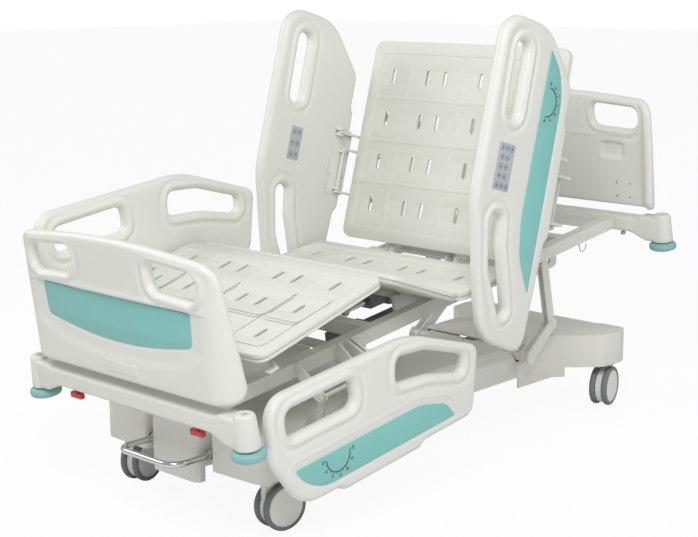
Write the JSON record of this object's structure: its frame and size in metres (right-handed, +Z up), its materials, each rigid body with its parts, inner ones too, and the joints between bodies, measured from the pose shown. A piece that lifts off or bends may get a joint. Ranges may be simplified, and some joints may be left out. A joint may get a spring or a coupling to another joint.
{
  "type": "electric hospital bed",
  "caption": "Ward bed with hinged mattress sections, lift levers, swing-down side rails, lift-off end boards and a castered base.",
  "frame": {"origin": "on the floor, under the centre of the bed's box", "axes": "+Y to the head end, +X to the side whose foot rail is lowered, +Z up"},
  "size_m": [1.015, 2.2452, 1.4561],
  "materials": {
    "frame_grey": "satin",
    "panel_white": "fine texture",
    "shell_ivory": "satin",
    "cover_grey": "satin",
    "motor_grey": "matt",
    "rod_chrome": "polished",
    "bush_plastic": "plain",
    "bumper_grey": "matt",
    "red_plastic": "gloss",
    "arm_grey": "satin",
    "caster_grey": "satin",
    "wheel_rubber": "matt"
  },
  "bodies": {
    "base": {"base_frame": "frame_grey", "base_cover_head": "cover_grey", "base_cover_middle": "cover_grey", "base_cover_foot": "cover_grey", "lift_motor_foot": "motor_grey", "lift_motor_head": "motor_grey"},
    "brake": {"brake_bar": "rod_chrome", "brake_shaft": "rod_chrome"},
    "foot_lever": {"foot_lever": "frame_grey"},
    "foot_leg": {"foot_column": "frame_grey"},
    "bushes": {"pivot_bushes": "bush_plastic"},
    "head_lever": {"head_lever": "frame_grey"},
    "head_leg": {"head_column": "frame_grey"},
    "foot_lift_rod": {"lift_rod_foot": "rod_chrome"},
    "head_lift_rod": {"lift_rod_head": "rod_chrome"},
    "deck": {"deck_frame": "frame_grey", "foot_beam": "cover_grey", "head_beam": "cover_grey", "seat_panel": "panel_white", "control_unit": "cover_grey", "back_motor": "motor_grey", "knee_motor": "motor_grey"},
    "footboard": {"footboard": "shell_ivory"},
    "headboard": {"headboard": "shell_ivory"},
    "carriage": {"back_carriage": "frame_grey"},
    "back": {"back_frame": "frame_grey", "back_panel": "panel_white"},
    "back_drive_rod": {"back_rod": "rod_chrome"},
    "thigh": {"thigh_panel": "panel_white"},
    "calf": {"calf_panel": "panel_white"},
    "knee_drive_rod": {"knee_rod": "rod_chrome"},
    "fork_foot_left": {"caster_fork_foot_left": "caster_grey"},
    "wheels_foot_left": {"caster_wheels_foot_left": "wheel_rubber"},
    "fork_foot_right": {"caster_fork_foot_right": "caster_grey"},
    "wheels_foot_right": {"caster_wheels_foot_right": "wheel_rubber"},
    "fork_head_left": {"caster_fork_head_left": "caster_grey"},
    "wheels_head_left": {"caster_wheels_head_left": "wheel_rubber"},
    "fork_head_right": {"caster_fork_head_right": "caster_grey"},
    "wheels_head_right": {"caster_wheels_head_right": "wheel_rubber"},
    "bumper_foot_left": {"bumper_foot_left": "bumper_grey"},
    "bumper_foot_right": {"bumper_foot_right": "bumper_grey"},
    "bumper_head_left": {"bumper_head_left": "bumper_grey"},
    "bumper_head_right": {"bumper_head_right": "bumper_grey"},
    "board_lock_left": {"board_lock_left": "red_plastic"},
    "board_lock_right": {"board_lock_right": "red_plastic"},
    "head_rail_left_arm": {"head_rail_arm_left": "arm_grey"},
    "head_rail_left": {"head_rail_left": "shell_ivory"},
    "head_rail_left_link": {"head_rail_link_left": "arm_grey"},
    "head_rail_right_arm": {"head_rail_arm_right": "arm_grey"},
    "head_rail_right": {"head_rail_right": "shell_ivory"},
    "head_rail_right_link": {"head_rail_link_right": "arm_grey"},
    "foot_rail_left_arm": {"foot_rail_arm_left": "arm_grey"},
    "foot_rail_left": {"foot_rail_left": "shell_ivory"},
    "foot_rail_left_link": {"foot_rail_link_left": "arm_grey"},
    "foot_rail_right_arm": {"foot_rail_arm_right": "arm_grey"},
    "foot_rail_right": {"foot_rail_right": "shell_ivory"},
    "foot_rail_right_link": {"foot_rail_link_right": "arm_grey"},
    "release_handle_left": {"release_handle_left": "red_plastic"},
    "release_handle_right": {"release_handle_right": "red_plastic"}
  },
  "joints": [
    {"name": "brake_pedal", "type": "hinge", "parent": "base", "child": "brake", "pos_m": [0, -0.84822, 0.205], "axis": [1, 0, 0], "range_deg": [-12, 12]},
    {"name": "foot_lift", "type": "hinge", "parent": "base", "child": "foot_lever", "pos_m": [0, -0.47701, 0.24779], "axis": [1, 0, 0], "range_deg": [-19.5, 50.5]},
    {"name": "foot_leg_turn", "type": "hinge", "parent": "foot_lever", "child": "foot_leg", "pos_m": [0, -0.3128, 0.21736], "axis": [1, 0, 0], "range_deg": [-50.6, 19.6]},
    {"name": "bush_turn", "type": "hinge", "parent": "foot_leg", "child": "bushes", "pos_m": [0, -0.3628, 0.43986], "axis": [1, 0, 0], "range_deg": [-8.3, 3.3]},
    {"name": "head_lift", "type": "hinge", "parent": "base", "child": "head_lever", "pos_m": [0, 0.52878, 0.249], "axis": [1, 0, 0], "range_deg": [-56, 8]},
    {"name": "head_leg_turn", "type": "hinge", "parent": "head_lever", "child": "head_leg", "pos_m": [0, 0.66355, 0.34763], "axis": [1, 0, 0], "range_deg": [-8.1, 56.1]},
    {"name": "deck_turn", "type": "hinge", "parent": "bushes", "child": "deck", "pos_m": [0, -0.3628, 0.43986], "axis": [1, 0, 0], "range_deg": [-9.1, 1.4]},
    {"name": "foot_rod_slide", "type": "slide", "parent": "base", "child": "foot_lift_rod", "axis": [0, 1, 0], "range_m": [-0.0165, 0.0425]},
    {"name": "head_rod_slide", "type": "slide", "parent": "base", "child": "head_lift_rod", "axis": [0, 1, 0], "range_m": [-0.047, 0.007]},
    {"name": "swivel_foot_left", "type": "hinge", "parent": "base", "child": "fork_foot_left", "pos_m": [0.305, -0.79822, 0.152], "axis": [0, 0, 1], "continuous": true},
    {"name": "roll_foot_left", "type": "hinge", "parent": "fork_foot_left", "child": "wheels_foot_left", "pos_m": [0.31204, -0.75377, 0.073], "axis": [0.9877, -0.1564, 0], "continuous": true},
    {"name": "swivel_foot_right", "type": "hinge", "parent": "base", "child": "fork_foot_right", "pos_m": [-0.305, -0.79822, 0.152], "axis": [0, 0, 1], "continuous": true},
    {"name": "roll_foot_right", "type": "hinge", "parent": "fork_foot_right", "child": "wheels_foot_right", "pos_m": [-0.31436, -0.7542, 0.073], "axis": [0.9781, 0.2079, 0], "continuous": true},
    {"name": "swivel_head_left", "type": "hinge", "parent": "base", "child": "fork_head_left", "pos_m": [0.305, 0.97678, 0.152], "axis": [0, 0, 1], "continuous": true},
    {"name": "roll_head_left", "type": "hinge", "parent": "fork_head_left", "child": "wheels_head_left", "pos_m": [0.31512, 0.93294, 0.073], "axis": [0.9744, 0.225, 0], "continuous": true},
    {"name": "swivel_head_right", "type": "hinge", "parent": "base", "child": "fork_head_right", "pos_m": [-0.305, 0.97678, 0.152], "axis": [0, 0, 1], "continuous": true},
    {"name": "roll_head_right", "type": "hinge", "parent": "fork_head_right", "child": "wheels_head_right", "pos_m": [-0.31126, 0.93222, 0.073], "axis": [0.9903, -0.1392, 0], "continuous": true},
    {"name": "bumper_foot_left_roll", "type": "hinge", "parent": "deck", "child": "bumper_foot_left", "pos_m": [0.458, -1.00899, 0.32313], "axis": [0, -0.1323, 0.9912], "continuous": true},
    {"name": "bumper_foot_right_roll", "type": "hinge", "parent": "deck", "child": "bumper_foot_right", "pos_m": [-0.458, -1.00899, 0.32313], "axis": [0, -0.1323, 0.9912], "continuous": true},
    {"name": "bumper_head_left_roll", "type": "hinge", "parent": "deck", "child": "bumper_head_left", "pos_m": [0.458, 1.07256, 0.60087], "axis": [0, -0.1323, 0.9912], "continuous": true},
    {"name": "bumper_head_right_roll", "type": "hinge", "parent": "deck", "child": "bumper_head_right", "pos_m": [-0.458, 1.07256, 0.60087], "axis": [0, -0.1323, 0.9912], "continuous": true},
    {"name": "footboard_lift", "type": "slide", "parent": "deck", "child": "footboard", "axis": [0, -0.1323, 0.9912], "range_m": [0, 0.075]},
    {"name": "headboard_lift", "type": "slide", "parent": "deck", "child": "headboard", "axis": [0, -0.1323, 0.9912], "range_m": [0, 0.075]},
    {"name": "board_lock_left_turn", "type": "hinge", "parent": "deck", "child": "board_lock_left", "pos_m": [0.272, -1.02882, 0.36588], "axis": [0, -0.1323, 0.9912], "range_deg": [-90, 90]},
    {"name": "board_lock_right_turn", "type": "hinge", "parent": "deck", "child": "board_lock_right", "pos_m": [-0.272, -1.02882, 0.36588], "axis": [0, -0.1323, 0.9912], "range_deg": [-90, 90]},
    {"name": "back_raise", "type": "hinge", "parent": "carriage", "child": "back", "pos_m": [0, 0.34269, 0.60437], "axis": [1, 0, 0], "range_deg": [-66.5, 3.5]},
    {"name": "carriage_slide", "type": "slide", "parent": "deck", "child": "carriage", "axis": [0, 0.9912, 0.1323], "range_m": [-0.1205, 0.007]},
    {"name": "back_rod_slide", "type": "slide", "parent": "deck", "child": "back_drive_rod", "axis": [0, 0.9912, 0.1323], "range_m": [-0.2415, 0.0135]},
    {"name": "knee_raise", "type": "hinge", "parent": "deck", "child": "thigh", "pos_m": [0, -0.07799, 0.5664], "axis": [-1, 0, 0], "range_deg": [-27, 8]},
    {"name": "calf_turn", "type": "hinge", "parent": "thigh", "child": "calf", "pos_m": [0, -0.40812, 0.68266], "axis": [-1, 0, 0], "range_deg": [-10.5, 35.1]},
    {"name": "knee_rod_slide", "type": "slide", "parent": "deck", "child": "knee_drive_rod", "axis": [0, 0.9912, 0.1323], "range_m": [-0.0145, 0.047]},
    {"name": "head_rail_left_swing", "type": "hinge", "parent": "back", "child": "head_rail_left_arm", "pos_m": [0.375, 0.50835, 0.84832], "axis": [0, 0.274, 0.9617], "range_deg": [0, 144.41]},
    {"name": "head_rail_left_upright", "type": "hinge", "parent": "head_rail_left_arm", "child": "head_rail_left", "pos_m": [0.44, 0.3136, 0.90379], "axis": [0, 0.274, 0.9617], "range_deg": [-144.51, 0.1]},
    {"name": "head_rail_left_link_turn", "type": "hinge", "parent": "back", "child": "head_rail_left_link", "pos_m": [0.375, 0.47469, 0.8579], "axis": [0, 0.274, 0.9617], "range_deg": [-0.1, 144.51]},
    {"name": "head_rail_right_swing", "type": "hinge", "parent": "back", "child": "head_rail_right_arm", "pos_m": [-0.375, 0.50835, 0.84832], "axis": [0, -0.274, -0.9617], "range_deg": [0, 144.41]},
    {"name": "head_rail_right_upright", "type": "hinge", "parent": "head_rail_right_arm", "child": "head_rail_right", "pos_m": [-0.44, 0.3136, 0.90379], "axis": [0, -0.274, -0.9617], "range_deg": [-144.51, 0.1]},
    {"name": "head_rail_right_link_turn", "type": "hinge", "parent": "back", "child": "head_rail_right_link", "pos_m": [-0.375, 0.47469, 0.8579], "axis": [0, -0.274, -0.9617], "range_deg": [-0.1, 144.51]},
    {"name": "foot_rail_left_swing", "type": "hinge", "parent": "deck", "child": "foot_rail_left_arm", "pos_m": [0.375, -0.52429, 0.39537], "axis": [0, -0.9912, -0.1323], "range_deg": [0, 144.41]},
    {"name": "foot_rail_left_upright", "type": "hinge", "parent": "foot_rail_left_arm", "child": "foot_rail_left", "pos_m": [0.44, -0.49751, 0.19465], "axis": [0, -0.9912, -0.1323], "range_deg": [-144.51, 0.1]},
    {"name": "foot_rail_left_link_turn", "type": "hinge", "parent": "deck", "child": "foot_rail_left_link", "pos_m": [0.375, -0.52892, 0.43006], "axis": [0, -0.9912, -0.1323], "range_deg": [-0.1, 144.51]},
    {"name": "foot_rail_right_swing", "type": "hinge", "parent": "deck", "child": "foot_rail_right_arm", "pos_m": [-0.375, -0.52429, 0.39537], "axis": [0, -0.9912, -0.1323], "range_deg": [0, 144.41]},
    {"name": "foot_rail_right_upright", "type": "hinge", "parent": "foot_rail_right_arm", "child": "foot_rail_right", "pos_m": [-0.44, -0.55107, 0.59609], "axis": [0, -0.9912, -0.1323], "range_deg": [-144.51, 0.1]},
    {"name": "foot_rail_right_link_turn", "type": "hinge", "parent": "deck", "child": "foot_rail_right_link", "pos_m": [-0.375, -0.52892, 0.43006], "axis": [0, -0.9912, -0.1323], "range_deg": [-0.1, 144.51]},
    {"name": "release_handle_left_pull", "type": "hinge", "parent": "back", "child": "release_handle_left", "pos_m": [0.32, 0.51569, 1.04379], "axis": [1, 0, 0], "range_deg": [0, 25], "stiffness_Nm_per_rad": 2, "springref_deg": -8.59},
    {"name": "release_handle_right_pull", "type": "hinge", "parent": "back", "child": "release_handle_right", "pos_m": [-0.32, 0.51569, 1.04379], "axis": [1, 0, 0], "range_deg": [0, 25], "stiffness_Nm_per_rad": 2, "springref_deg": -8.59}
  ],
  "couplings": [
    {"joint": "foot_leg_turn", "follows": "foot_lift", "ratio": -1},
    {"joint": "bush_turn", "follows": "foot_lift", "ratio": -0.1625},
    {"joint": "head_leg_turn", "follows": "head_lift", "ratio": -1},
    {"joint": "deck_turn", "follows": "head_lift", "ratio": 0.16},
    {"joint": "foot_rod_slide", "follows": "foot_lift", "m_per_rad": 0.0475},
    {"joint": "head_rod_slide", "follows": "head_lift", "m_per_rad": 0.0475},
    {"joint": "carriage_slide", "follows": "back_raise", "m_per_rad": 0.1034},
    {"joint": "back_rod_slide", "follows": "back_raise", "m_per_rad": 0.2073},
    {"joint": "calf_turn", "follows": "knee_raise", "ratio": -1.296},
    {"joint": "knee_rod_slide", "follows": "knee_raise", "m_per_rad": -0.0984},
    {"joint": "head_rail_left_upright", "follows": "head_rail_left_swing", "ratio": -1},
    {"joint": "head_rail_left_link_turn", "follows": "head_rail_left_swing", "ratio": 1},
    {"joint": "head_rail_right_upright", "follows": "head_rail_right_swing", "ratio": -1},
    {"joint": "head_rail_right_link_turn", "follows": "head_rail_right_swing", "ratio": 1},
    {"joint": "foot_rail_left_upright", "follows": "foot_rail_left_swing", "ratio": -1},
    {"joint": "foot_rail_left_link_turn", "follows": "foot_rail_left_swing", "ratio": 1},
    {"joint": "foot_rail_right_upright", "follows": "foot_rail_right_swing", "ratio": -1},
    {"joint": "foot_rail_right_link_turn", "follows": "foot_rail_right_swing", "ratio": 1}
  ]
}
